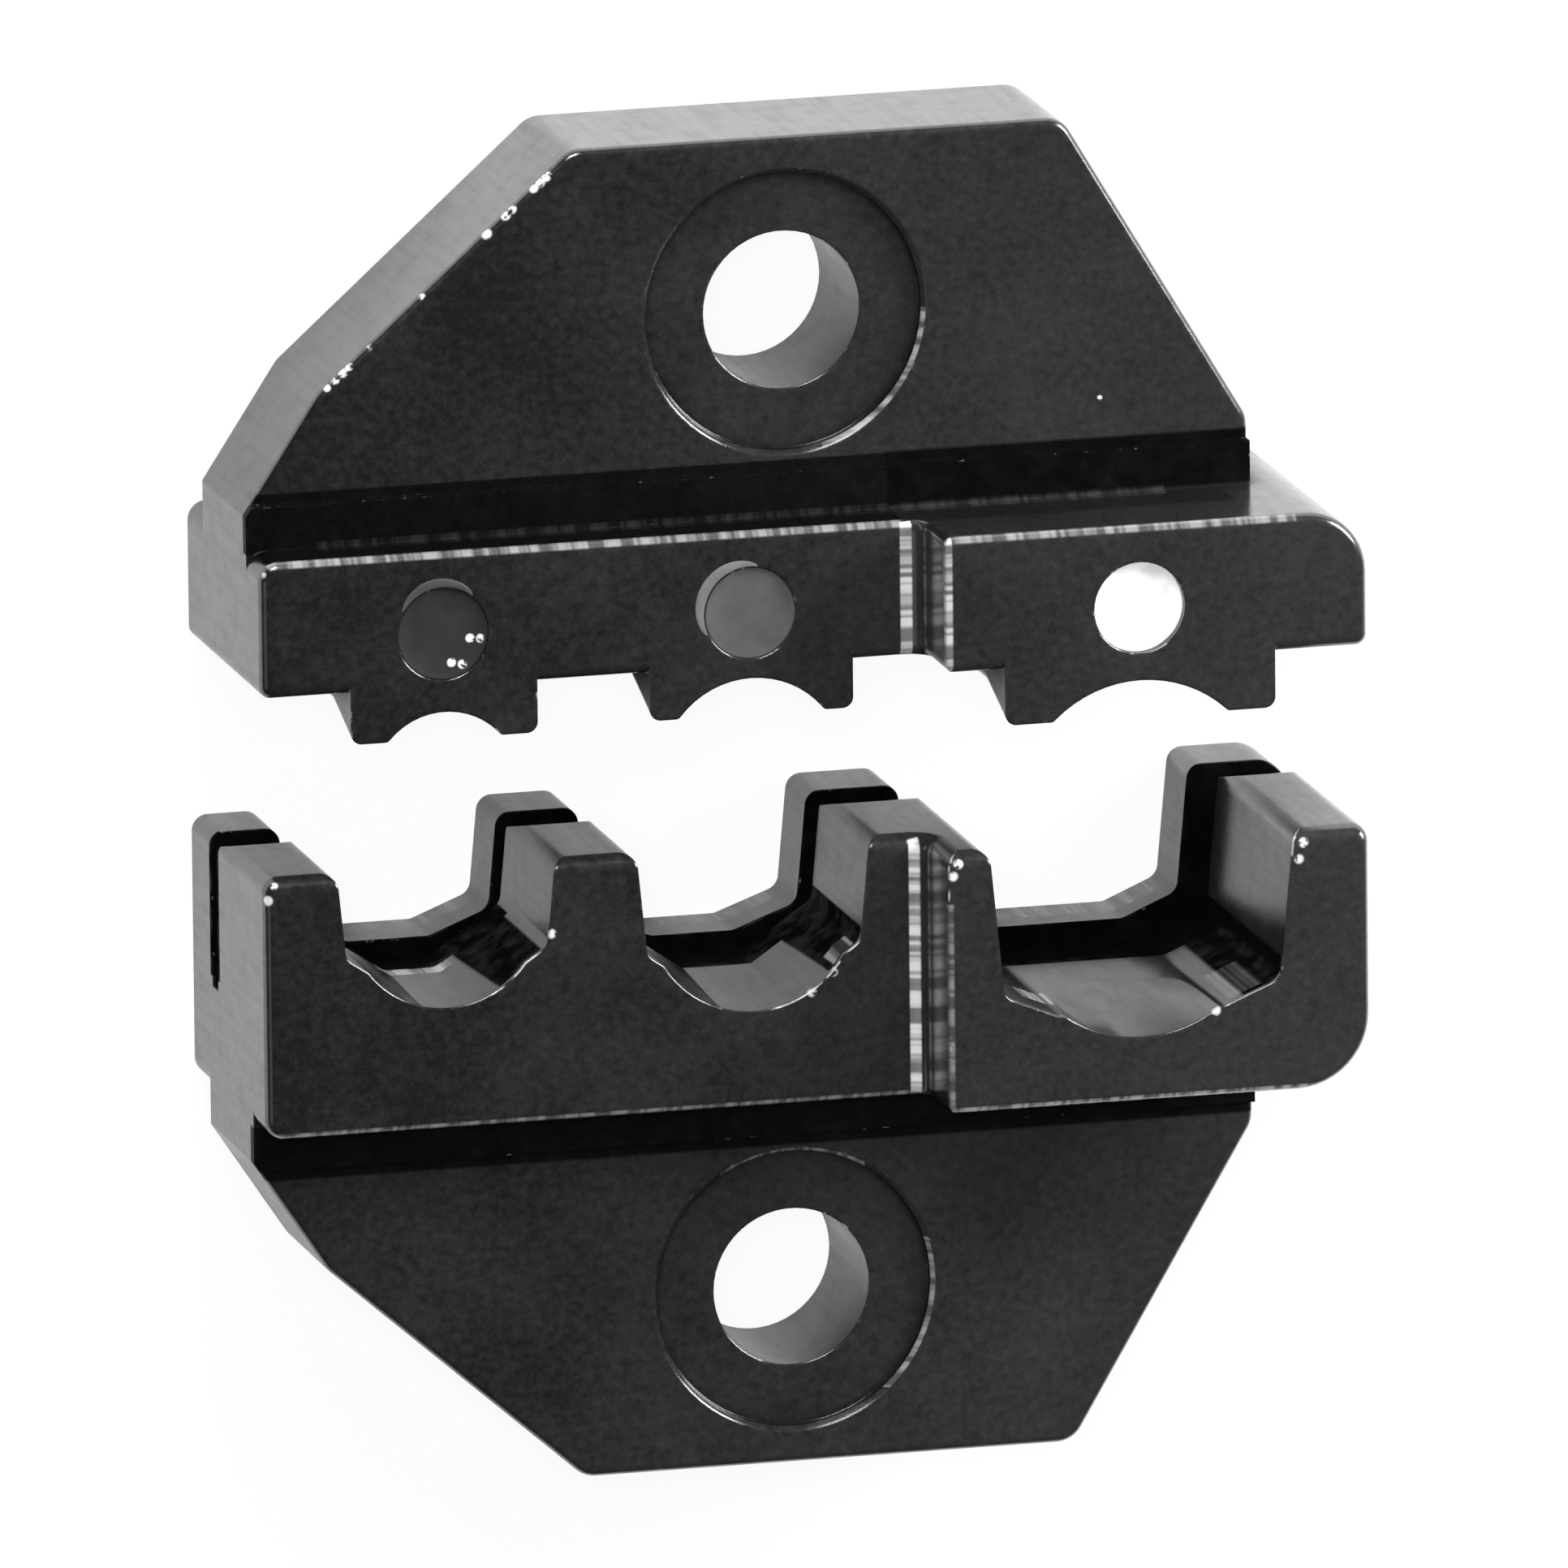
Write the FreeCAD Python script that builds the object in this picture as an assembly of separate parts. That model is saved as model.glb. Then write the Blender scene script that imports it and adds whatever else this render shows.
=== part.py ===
import FreeCAD, Part
import math
import os

# A matched pair of crimp dies for insulated terminals, lying on their backs, open.
# X runs along the width, Y is the closing direction and Z points out of the front faces.
# The origin is on the plane that the backs lie on, midway between the two screw holes.
# All sizes are in millimetres.

# Block that both dies share
block_width = 34.6
back_overhang = 2.0
tail_thickness = 5.3
front_overhang = 2.0
section_step = 2.8
left_section_width = 21.1
step_fillet = 0.6
shoulder_corner_radius = 2.3
shoulder_left_radius = 0.6
upper_block_height = 4.3
lower_block_height = 8.3

# Tail with the screw hole, measured from the hole
hole_to_tail_end = 5.55
hole_to_shoulder = 6.4
tail_end_left = 6.75
tail_end_right = 8.95
tail_right = 14.8
right_corner_drop = 4.3
knee_left = 14.9
knee_drop = 1.65
left_corner_drop = 5.3
tail_corner_radius = 0.9
screw_hole_diameter = 5.0
head_seat_diameter = 8.8
head_seat_depth = 0.4
head_seat_chamfer = 0.15
root_band_height = 1.4
root_band_proud = 0.25

# The pair
open_gap = 5.7

# Nests of the lower die, small, medium and large, measured from the left end of the block
small_nest_from_left = 5.8
small_nest_width = 6.95
small_nest_depth = 4.3
small_floor_width = 1.6
small_bevel_rise = 1.6
medium_nest_from_left = 15.6
medium_nest_width = 7.45
medium_nest_depth = 4.85
medium_floor_width = 2.2
medium_bevel_rise = 1.6
large_nest_from_left = 27.3
large_nest_width = 9.75
large_nest_depth = 5.45
large_floor_width = 5.2
large_bevel_rise = 0.75
nest_draft = 5.5
prong_corner_radius = 0.5
nest_corner_radius = 0.5

# Thin back plate of the lower die, behind its slot; its nests stand a little off the front ones
back_plate_thickness = 2.5
slot_width = 0.7
slot_depth = 4.9
small_back_shift = -0.15
small_back_width = 7.0
small_back_rise = 0.5
small_back_floor_width = 2.6
medium_back_shift = -0.2
medium_back_width = 7.4
medium_back_rise = 0.55
medium_back_floor_width = 2.6
large_back_shift = -0.6
large_back_width = 9.4
large_back_rise = 0.65
large_back_floor_width = 5.1
back_bevel_rise = 0.75
prong_slope_length = 1.3
prong_slope_drop = 0.3
back_end_radius = 1.1

# Scoops that lead from the floors of the nests to rounded lips at the front
small_lip_width = 5.0
small_lip_drop = 0.15
small_scoop_length = 5.2
medium_lip_width = 5.75
medium_lip_drop = 0.4
medium_scoop_length = 5.2
large_lip_width = 4.9
large_lip_drop = 0.8
large_scoop_length = 4.6
scoop_lift = 0.03

# Lugs of the upper die
small_lug_width = 5.95
medium_lug_width = 6.5
large_lug_width = 8.65
small_lug_drop = 1.6
medium_lug_drop = 1.5
large_lug_drop = 1.75
small_arch_width = 3.6
medium_arch_width = 4.65
large_arch_width = 5.6
small_arch_rise = 0.85
medium_arch_rise = 1.15
large_arch_rise = 1.15
lug_corner_radius = 0.35
lug_tip_radius = 0.2
lug_clearance = 0.3
lug_root = 1.0
lug_rise_length = 2.4
lug_rise = 0.85

# Colour dots: drilled dimples with enamel in them
dot_diameter = 2.9
dot_depth = 0.9
dot_drop = 2.6
enamel_thickness = 0.35
enamel_dish = 0.2
enamel_clearance = 0.01

# Edges
front_edge_radius = 0.3
tail_edge_radius = 0.25

# Worked out from the sizes above
left_x = -block_width / 2
right_x = block_width / 2
step_x = left_x + left_section_width
tail_front = back_overhang + tail_thickness
left_front = tail_front + front_overhang
right_front = left_front + section_step
upper_face_to_hole = hole_to_shoulder + upper_block_height
lower_face_to_hole = hole_to_shoulder + lower_block_height
hole_distance = upper_face_to_hole + lower_face_to_hole + open_gap
upper_hole_y = hole_distance / 2
lower_hole_y = -hole_distance / 2
MARGIN = 5.0
TOUCH = 1e-3

NESTS = {
    "small": dict(
        x=left_x + small_nest_from_left, width=small_nest_width, depth=small_nest_depth,
        floor=small_floor_width, bevel=small_bevel_rise, front=left_front,
        back_shift=small_back_shift, back_width=small_back_width, back_rise=small_back_rise,
        back_floor=small_back_floor_width,
        lip=small_lip_width, lip_drop=small_lip_drop, scoop=small_scoop_length,
        lug=small_lug_width, drop=small_lug_drop, arch=small_arch_width, rise=small_arch_rise),
    "medium": dict(
        x=left_x + medium_nest_from_left, width=medium_nest_width, depth=medium_nest_depth,
        floor=medium_floor_width, bevel=medium_bevel_rise, front=left_front,
        back_shift=medium_back_shift, back_width=medium_back_width, back_rise=medium_back_rise,
        back_floor=medium_back_floor_width,
        lip=medium_lip_width, lip_drop=medium_lip_drop, scoop=medium_scoop_length,
        lug=medium_lug_width, drop=medium_lug_drop, arch=medium_arch_width, rise=medium_arch_rise),
    "large": dict(
        x=left_x + large_nest_from_left, width=large_nest_width, depth=large_nest_depth,
        floor=large_floor_width, bevel=large_bevel_rise, front=right_front,
        back_shift=large_back_shift, back_width=large_back_width, back_rise=large_back_rise,
        back_floor=large_back_floor_width,
        lip=large_lip_width, lip_drop=large_lip_drop, scoop=large_scoop_length,
        lug=large_lug_width, drop=large_lug_drop, arch=large_arch_width, rise=large_arch_rise),
}


def corner_arc(before, corner, after, radius):
    """Tangent points and middle of a round corner, its radius limited by its two sides."""
    to_before = before - corner
    to_after = after - corner
    half = to_before.getAngle(to_after) / 2
    reach = radius / math.tan(half)
    reach = min(reach, 0.45 * min(to_before.Length, to_after.Length))
    radius = reach * math.tan(half)
    to_before.normalize()
    to_after.normalize()
    start = corner + to_before * reach
    end = corner + to_after * reach
    inward = (to_before + to_after).normalize()
    middle = corner + inward * (radius / math.sin(half) - radius)
    return start, middle, end


def rounded_face(points, lift=lambda x, y: FreeCAD.Vector(x, y, 0)):
    """Flat face from a closed list of (x, y, corner radius)."""
    corners = [lift(x, y) for x, y, _ in points]
    count = len(corners)
    joints = []
    for i in range(count):
        corner = corners[i]
        radius = points[i][2]
        if radius > 0:
            joints.append(corner_arc(corners[i - 1], corner, corners[(i + 1) % count], radius))
        else:
            joints.append((corner, None, corner))
    edges = []
    for i in range(count):
        start, middle, end = joints[i]
        if middle is not None:
            edges.append(Part.Arc(start, middle, end).toShape())
        edges.append(Part.LineSegment(end, joints[(i + 1) % count][0]).toShape())
    return Part.Face(Part.Wire(edges))


def prism(face, z_low, z_high):
    """Face in the XY plane raised from one height to another."""
    solid = face.extrude(FreeCAD.Vector(0, 0, z_high - z_low))
    solid.translate(FreeCAD.Vector(0, 0, z_low))
    return solid


def round_edges(solid, radius, chosen):
    """Round every edge that the test picks by its middle point."""
    edges = []
    for edge in solid.Edges:
        middle = edge.valueAt((edge.FirstParameter + edge.LastParameter) / 2)
        if chosen(middle, edge):
            edges.append(edge)
    return solid.makeFillet(radius, edges)


def one_solid(shape):
    """The single solid inside a shape."""
    if len(shape.Solids) != 1:
        raise ValueError("expected one solid, found %d" % len(shape.Solids))
    return shape.Solids[0]


def along_z(edge, middle, x, y):
    """True for an edge that runs along Z through the given point."""
    upright = edge.BoundBox.XLength < TOUCH and edge.BoundBox.YLength < TOUCH
    return upright and abs(middle.x - x) < TOUCH and abs(middle.y - y) < TOUCH


def tail():
    """Trapezoid tail with its hole at the origin and its end towards +Y."""
    root = -hole_to_shoulder - shoulder_left_radius - front_edge_radius
    outline = [
        (-tail_end_left, hole_to_tail_end, tail_corner_radius),
        (tail_end_right, hole_to_tail_end, tail_corner_radius),
        (tail_right, -right_corner_drop, tail_corner_radius),
        (tail_right, root, 0),
        (left_x, root, 0),
        (left_x, -left_corner_drop, 0),
        (-knee_left, -knee_drop, tail_corner_radius),
    ]
    plate = prism(rounded_face(outline), back_overhang, tail_front)
    plate = round_edges(plate, tail_edge_radius, on_tail_rim)
    band_face = rounded_face(outline).common(root_band_zone())
    band = prism(band_face, tail_front - tail_edge_radius * 2, tail_front + root_band_proud)
    solid = plate.fuse(band)
    hole = Part.makeCylinder(screw_hole_diameter / 2, tail_front + MARGIN)
    seat_radius = head_seat_diameter / 2
    seat = Part.makeCylinder(seat_radius, MARGIN,
                             FreeCAD.Vector(0, 0, tail_front - head_seat_depth))
    rim = Part.makeCone(seat_radius, seat_radius + 2 * head_seat_chamfer, 2 * head_seat_chamfer,
                        FreeCAD.Vector(0, 0, tail_front - head_seat_chamfer))
    return one_solid(solid.cut([hole, seat, rim]))


def root_band_zone():
    """Flat zone beside the shoulder where the tail is left thicker."""
    low = -hole_to_shoulder - MARGIN
    high = -hole_to_shoulder + root_band_height
    zone = Part.makePlane(block_width, high - low, FreeCAD.Vector(left_x, low, 0))
    return zone


def on_tail_rim(middle, edge):
    """Front rim of the tail, without its root."""
    at_front = abs(middle.z - tail_front) < TOUCH
    flat = abs(edge.BoundBox.ZMax - edge.BoundBox.ZMin) < TOUCH
    return at_front and flat and middle.y > -hole_to_shoulder


def step_cutter(y_low, y_high):
    """Space in front of the left section, with the fillet where the right section stands out."""
    def lift(x, z):
        return FreeCAD.Vector(x, y_low, z)
    face = rounded_face([
        (left_x - MARGIN, left_front, 0),
        (step_x, left_front, step_fillet),
        (step_x, right_front + MARGIN, 0),
        (left_x - MARGIN, right_front + MARGIN, 0),
    ], lift)
    return face.extrude(FreeCAD.Vector(0, y_high - y_low, 0))


def block_edges(shoulder_y):
    """Test for the front edges at the shoulder and at the two ends of a block."""
    def chosen(middle, edge):
        at_front = abs(middle.z - left_front) < TOUCH or abs(middle.z - right_front) < TOUCH
        flat = abs(edge.BoundBox.ZMax - edge.BoundBox.ZMin) < TOUCH
        at_shoulder = abs(middle.y - shoulder_y) < TOUCH
        at_left_end = abs(middle.x - left_x) < TOUCH
        past_corner = middle.x > right_x - shoulder_corner_radius
        near_shoulder = abs(middle.y - shoulder_y) < shoulder_corner_radius * 1.5
        at_right_end = abs(middle.x - right_x) < TOUCH or (past_corner and near_shoulder)
        return at_front and flat and (at_shoulder or at_left_end or at_right_end)
    return chosen


def blank(shoulder_y, face_y, end_radius):
    """Solid block with its step, its rounded shoulder corner and its rounded front edges."""
    outline = [
        (left_x, shoulder_y, shoulder_left_radius),
        (right_x, shoulder_y, shoulder_corner_radius),
        (right_x, face_y, 0),
        (left_x, face_y, 0),
    ]
    low = min(shoulder_y, face_y) - MARGIN
    high = max(shoulder_y, face_y) + MARGIN
    block = prism(rounded_face(outline), 0, right_front)
    block = block.cut(step_cutter(low, high))
    block = round_edges(block, front_edge_radius, block_edges(shoulder_y))

    def at_end(middle, edge):
        return along_z(edge, middle, left_x, face_y) or along_z(edge, middle, right_x, face_y)
    return round_edges(block, end_radius, at_end)


def lug_face(nest, x_low, x_high, lift, z):
    """Section of a lug below the mating face at y = 0, with its crimping arch."""
    drop = nest["drop"] - lift
    outline = [
        (x_low, lug_root, 0),
        (x_high, lug_root, 0),
        (x_high, -drop, lug_corner_radius),
        (x_low, -drop, lug_corner_radius),
    ]
    slab = prism(rounded_face(outline), z, z + lug_root)
    half_arch = nest["arch"] / 2
    radius = (half_arch ** 2 + nest["rise"] ** 2) / (2 * nest["rise"])
    centre = FreeCAD.Vector(nest["x"], nest["rise"] - drop - radius, z - MARGIN)
    slab = slab.cut(Part.makeCylinder(radius, lug_root + 2 * MARGIN, centre))

    def at_tip(middle, edge):
        left = along_z(edge, middle, nest["x"] - half_arch, -drop)
        return left or along_z(edge, middle, nest["x"] + half_arch, -drop)
    slab = round_edges(slab, lug_tip_radius, at_tip)
    return min(slab.Faces, key=lambda face: face.CenterOfMass.z)


def lug_parts(nest):
    """Lug whose front rises towards the rear, then its even length, narrowed in the back plate."""
    split = back_plate_thickness + slot_width / 2
    rise_start = nest["front"] - lug_rise_length
    x_low = nest["x"] - nest["lug"] / 2
    x_high = nest["x"] + nest["lug"] / 2
    taper = nest["drop"] * math.tan(math.radians(nest_draft))
    room = nest["back_width"] / 2 - taper - lug_clearance
    back_x = nest["x"] + nest["back_shift"]
    rear_low = max(x_low, back_x - room)
    rear_high = min(x_high, back_x + room)
    nose = lug_face(nest, x_low, x_high, 0, nest["front"])
    nose = nose.extrude(FreeCAD.Vector(0, lug_rise, -lug_rise_length))
    even = lug_face(nest, x_low, x_high, lug_rise, split)
    even = even.extrude(FreeCAD.Vector(0, 0, rise_start - split))
    rear = lug_face(nest, rear_low, rear_high, lug_rise, 0)
    rear = rear.extrude(FreeCAD.Vector(0, 0, split))
    return [nose, even, rear]


def upper_die():
    """Upper die with three lugs, its mating face towards -Y and its tail towards +Y."""
    face_y = -upper_face_to_hole
    shoulder_y = -hole_to_shoulder
    lugs = []
    for nest in NESTS.values():
        lugs += lug_parts(nest)
    for piece in lugs:
        piece.translate(FreeCAD.Vector(0, face_y, 0))
    solid = blank(shoulder_y, face_y, lug_corner_radius)
    solid = solid.fuse(lugs + [tail()]).removeSplitter()
    dimples = []
    for nest in NESTS.values():
        base = FreeCAD.Vector(nest["x"], shoulder_y - dot_drop, nest["front"] - dot_depth)
        dimples.append(Part.makeCylinder(dot_diameter / 2, dot_depth + MARGIN, base))
    solid = one_solid(solid.cut(dimples))
    solid.translate(FreeCAD.Vector(0, upper_hole_y, 0))
    return solid


def enamel_dot(nest):
    """Enamel in the bottom of a dimple, dished where it dried."""
    radius = dot_diameter / 2 - enamel_clearance
    y = upper_hole_y - hole_to_shoulder - dot_drop
    bottom = nest["front"] - dot_depth
    disc = Part.makeCylinder(radius, enamel_thickness + enamel_dish,
                             FreeCAD.Vector(nest["x"], y, bottom))
    ball_radius = (radius ** 2 + enamel_dish ** 2) / (2 * enamel_dish)
    centre = FreeCAD.Vector(nest["x"], y, bottom + enamel_thickness + ball_radius)
    return one_solid(disc.cut(Part.makeSphere(ball_radius, centre)))


def nest_cutter(x, width, depth, floor_width, bevel_rise, z_low, z_high):
    """Space of one nest: drafted walls, two bevels and a flat floor, with rounded mouth corners."""
    face_y = lower_face_to_hole
    taper = math.tan(math.radians(nest_draft))
    half_mouth = width / 2
    half_bottom = half_mouth - (depth - bevel_rise) * taper
    half_floor = floor_width / 2
    outside = half_mouth + prong_corner_radius * 2
    right = [
        (half_floor, face_y - depth, nest_corner_radius),
        (half_bottom, face_y - depth + bevel_rise, nest_corner_radius),
        (half_mouth, face_y, prong_corner_radius),
        (outside, face_y, 0),
        (outside, face_y + MARGIN, 0),
    ]
    left = [(-across, y, radius) for across, y, radius in reversed(right)]
    outline = [(x + across, y, radius) for across, y, radius in left + right]
    return prism(rounded_face(outline), z_low, z_high)


def nest_height(nest, across):
    """Height of the floor or bevel of a nest above its bottom, at a distance from its middle."""
    taper = math.tan(math.radians(nest_draft))
    half_floor = nest["floor"] / 2
    half_bottom = nest["width"] / 2 - (nest["depth"] - nest["bevel"]) * taper
    climb = (abs(across) - half_floor) / (half_bottom - half_floor)
    return max(climb, 0) * nest["bevel"]


def scoop_section(nest, height, z, curved):
    """Closed section of a scoop, its lower side following a height over the nest's bottom."""
    half = nest["lip"] / 2
    corner = min(nest["floor"] / 2, half * 0.9)
    bottom = lower_face_to_hole - nest["depth"]

    def spot(across):
        return FreeCAD.Vector(nest["x"] + across, bottom + height(across), z)
    stops = [-half, -corner, corner, half]
    edges = []
    for start, end in zip(stops, stops[1:]):
        if curved:
            edges.append(Part.Arc(spot(start), spot((start + end) / 2), spot(end)).toShape())
        else:
            edges.append(Part.LineSegment(spot(start), spot(end)).toShape())
    right_top = FreeCAD.Vector(nest["x"] + half, bottom + nest["depth"] / 2, z)
    left_top = FreeCAD.Vector(nest["x"] - half, bottom + nest["depth"] / 2, z)
    edges.append(Part.LineSegment(spot(half), right_top).toShape())
    edges.append(Part.LineSegment(right_top, left_top).toShape())
    edges.append(Part.LineSegment(left_top, spot(-half)).toShape())
    return Part.Wire(edges)


def scoop(nest):
    """Space between the floor of a nest and its rounded lip, straight across at the rear."""
    half = nest["lip"] / 2
    reach = nest["lip_drop"] + nest_height(nest, half)
    radius = (half ** 2 + reach ** 2) / (2 * reach)

    def lip_height(across):
        return radius - nest["lip_drop"] - math.sqrt(radius ** 2 - across ** 2)

    def rear_height(across):
        return nest_height(nest, across) + scoop_lift
    lip = scoop_section(nest, lip_height, nest["front"], True)
    rear = scoop_section(nest, rear_height, nest["front"] - nest["scoop"], False)
    return Part.makeLoft([rear, lip], True, True)


def end_cutter():
    """Space outside the round upper corner at the right end of the back plate."""
    corner = FreeCAD.Vector(right_x - back_end_radius, lower_face_to_hole - back_end_radius, 0)
    side = back_end_radius + MARGIN
    box = Part.makeBox(side, side, back_plate_thickness, corner)
    return box.cut(Part.makeCylinder(back_end_radius, back_plate_thickness, corner))


def slot_cutter():
    """Slot behind the prongs, with the short slope that leads from their tops down into it."""
    face_y = lower_face_to_hole
    slot_front = back_plate_thickness + slot_width
    low_x = left_x - MARGIN

    def lift(y, z):
        return FreeCAD.Vector(low_x, y, z)
    face = rounded_face([
        (face_y - slot_depth, back_plate_thickness, 0),
        (face_y - slot_depth, slot_front, 0),
        (face_y - prong_slope_drop, slot_front, 0),
        (face_y, slot_front + prong_slope_length, 0),
        (face_y + MARGIN, slot_front + prong_slope_length, 0),
        (face_y + MARGIN, back_plate_thickness, 0),
    ], lift)
    return face.extrude(FreeCAD.Vector(block_width + 2 * MARGIN, 0, 0))


def lower_die():
    """Lower die with three nests, a slot and a thin back plate, its tail towards -Y."""
    face_y = lower_face_to_hole
    cutters = [slot_cutter(), end_cutter()]
    for nest in NESTS.values():
        cutters.append(nest_cutter(nest["x"], nest["width"], nest["depth"], nest["floor"],
                                   nest["bevel"], back_plate_thickness, right_front + MARGIN))
        cutters.append(nest_cutter(nest["x"] + nest["back_shift"], nest["back_width"],
                                   nest["depth"] - nest["back_rise"], nest["back_floor"],
                                   back_bevel_rise, -MARGIN, back_plate_thickness))
        cutters.append(scoop(nest))
    upside_down = tail().mirror(FreeCAD.Vector(0, 0, 0), FreeCAD.Vector(0, 1, 0))
    solid = blank(hole_to_shoulder, face_y, prong_corner_radius).fuse(upside_down)
    solid = one_solid(solid.removeSplitter().cut(cutters))
    solid.translate(FreeCAD.Vector(0, lower_hole_y, 0))
    return solid


def save(name, solid):
    """Write one piece and print its size."""
    box = solid.BoundBox
    size = (box.XLength, box.YLength, box.ZLength)
    print(name, "valid", solid.isValid(), "faces", len(solid.Faces),
          "volume %.1f" % solid.Volume, "size %.2f %.2f %.2f" % size)
    solid.exportStep("parts/" + name + ".step")


os.makedirs("parts", exist_ok=True)
save("lower_die", lower_die())
save("upper_die", upper_die())
for dot_name, dot_nest in NESTS.items():
    save("enamel_dot_" + dot_name, enamel_dot(dot_nest))
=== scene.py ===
"""Looks of a pair of crimp dies: black oxide steel, enamel dots, studio and camera.

Inside the materials a place is in millimetres, so zones, nicks, painted glints and noise are in
millimetres too.
"""

from __future__ import annotations

import logging
import math
from dataclasses import dataclass
from enum import Enum

import bmesh
import bpy
import numpy as np
from mathutils import Matrix, Vector

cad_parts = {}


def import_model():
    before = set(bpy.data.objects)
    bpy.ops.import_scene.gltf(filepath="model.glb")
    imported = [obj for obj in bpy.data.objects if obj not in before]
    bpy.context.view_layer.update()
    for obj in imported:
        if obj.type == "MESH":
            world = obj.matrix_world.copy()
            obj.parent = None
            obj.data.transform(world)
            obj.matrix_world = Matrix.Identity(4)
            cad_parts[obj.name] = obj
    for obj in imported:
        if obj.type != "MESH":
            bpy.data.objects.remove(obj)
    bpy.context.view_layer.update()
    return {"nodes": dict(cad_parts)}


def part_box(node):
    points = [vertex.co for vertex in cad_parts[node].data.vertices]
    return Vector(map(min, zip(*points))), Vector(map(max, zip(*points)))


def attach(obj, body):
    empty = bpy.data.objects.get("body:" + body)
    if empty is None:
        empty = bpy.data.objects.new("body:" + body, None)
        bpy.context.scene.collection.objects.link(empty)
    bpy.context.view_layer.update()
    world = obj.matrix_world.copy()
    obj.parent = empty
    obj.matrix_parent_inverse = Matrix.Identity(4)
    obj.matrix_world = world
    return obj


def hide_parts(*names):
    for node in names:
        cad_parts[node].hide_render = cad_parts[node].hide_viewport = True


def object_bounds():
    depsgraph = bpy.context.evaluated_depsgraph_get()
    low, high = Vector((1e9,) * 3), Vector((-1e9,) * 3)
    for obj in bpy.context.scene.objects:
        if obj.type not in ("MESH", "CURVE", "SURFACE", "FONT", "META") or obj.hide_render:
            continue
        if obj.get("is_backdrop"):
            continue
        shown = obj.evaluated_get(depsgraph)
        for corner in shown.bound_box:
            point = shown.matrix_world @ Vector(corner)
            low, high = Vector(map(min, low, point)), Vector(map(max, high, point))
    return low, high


MM = 0.001
DIMPLE_DEPTH = 0.9 * MM
WELD_DISTANCE = 1e-8
NOISE_MIDDLE = 0.5
WHITE_LIGHT = (1.0, 1.0, 1.0, 1.0)
LOG = logging.getLogger("crimp_dies")


class Body(Enum):
    """The bodies that the pieces ride on."""

    LOWER = "lower"
    UPPER = "upper"


class Axis(Enum):
    """Axis that a line of wear and painted highlight runs along, by its place among the coordinates."""

    X = 0
    Y = 1


class DotTone(Enum):
    """Grey tones of the enamel and of the lighter enamel of the painted rim highlights, dark to white, as
    linear base colours.
    """

    DARK = 0.024
    # lighter copy of the small dot's enamel for its painted rim highlight
    SMALL_RIM_HIGHLIGHT = 0.060
    MID = 0.085
    # lighter copy of the medium dot's enamel for its painted rim highlight
    LIGHT = 0.15
    WHITE = 0.95


class Value:
    """What one socket of a node gives: a number, vector, colour or shader; numbers have arithmetic."""

    def __init__(self, graph: Graph, socket: bpy.types.NodeSocket) -> None:
        """Keep the graph and the socket."""
        self.graph = graph
        self.socket = socket

    def __add__(self, other: Value | float) -> Value:
        """Sum."""
        return self.graph.math("ADD", self, other)

    def __radd__(self, other: float) -> Value:
        """Sum with the number on the left."""
        return self.graph.math("ADD", other, self)

    def __sub__(self, other: Value | float) -> Value:
        """Difference."""
        return self.graph.math("SUBTRACT", self, other)

    def __rsub__(self, other: float) -> Value:
        """Difference with the number on the left."""
        return self.graph.math("SUBTRACT", other, self)

    def __mul__(self, other: Value | float) -> Value:
        """Product."""
        return self.graph.math("MULTIPLY", self, other)

    def __rmul__(self, other: float) -> Value:
        """Product with the number on the left."""
        return self.graph.math("MULTIPLY", other, self)

    def clamped(self, low: float, high: float) -> Value:
        """The number held between two limits."""
        return self.graph.math("MINIMUM", self.graph.math("MAXIMUM", self, low), high)

    def within(self, low: float, high: float, soft: float) -> Value:
        """1 between two limits, fading over a soft margin outside them."""
        return self.ramp(low - soft, low) * (1.0 - self.ramp(high, high + soft))

    def ramp(self, start: float, end: float) -> Value:
        """Make a smooth rise from 0 to 1.

        Args:
            start: number up to which the rise is 0.
            end: number from which it is 1.

        Returns:
            The rise.
        """
        settings = {"interpolation_type": "SMOOTHSTEP"}
        inputs = {"Value": self, "From Min": start, "From Max": end}
        return self.graph.output("ShaderNodeMapRange", settings, inputs, "Result")


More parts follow.
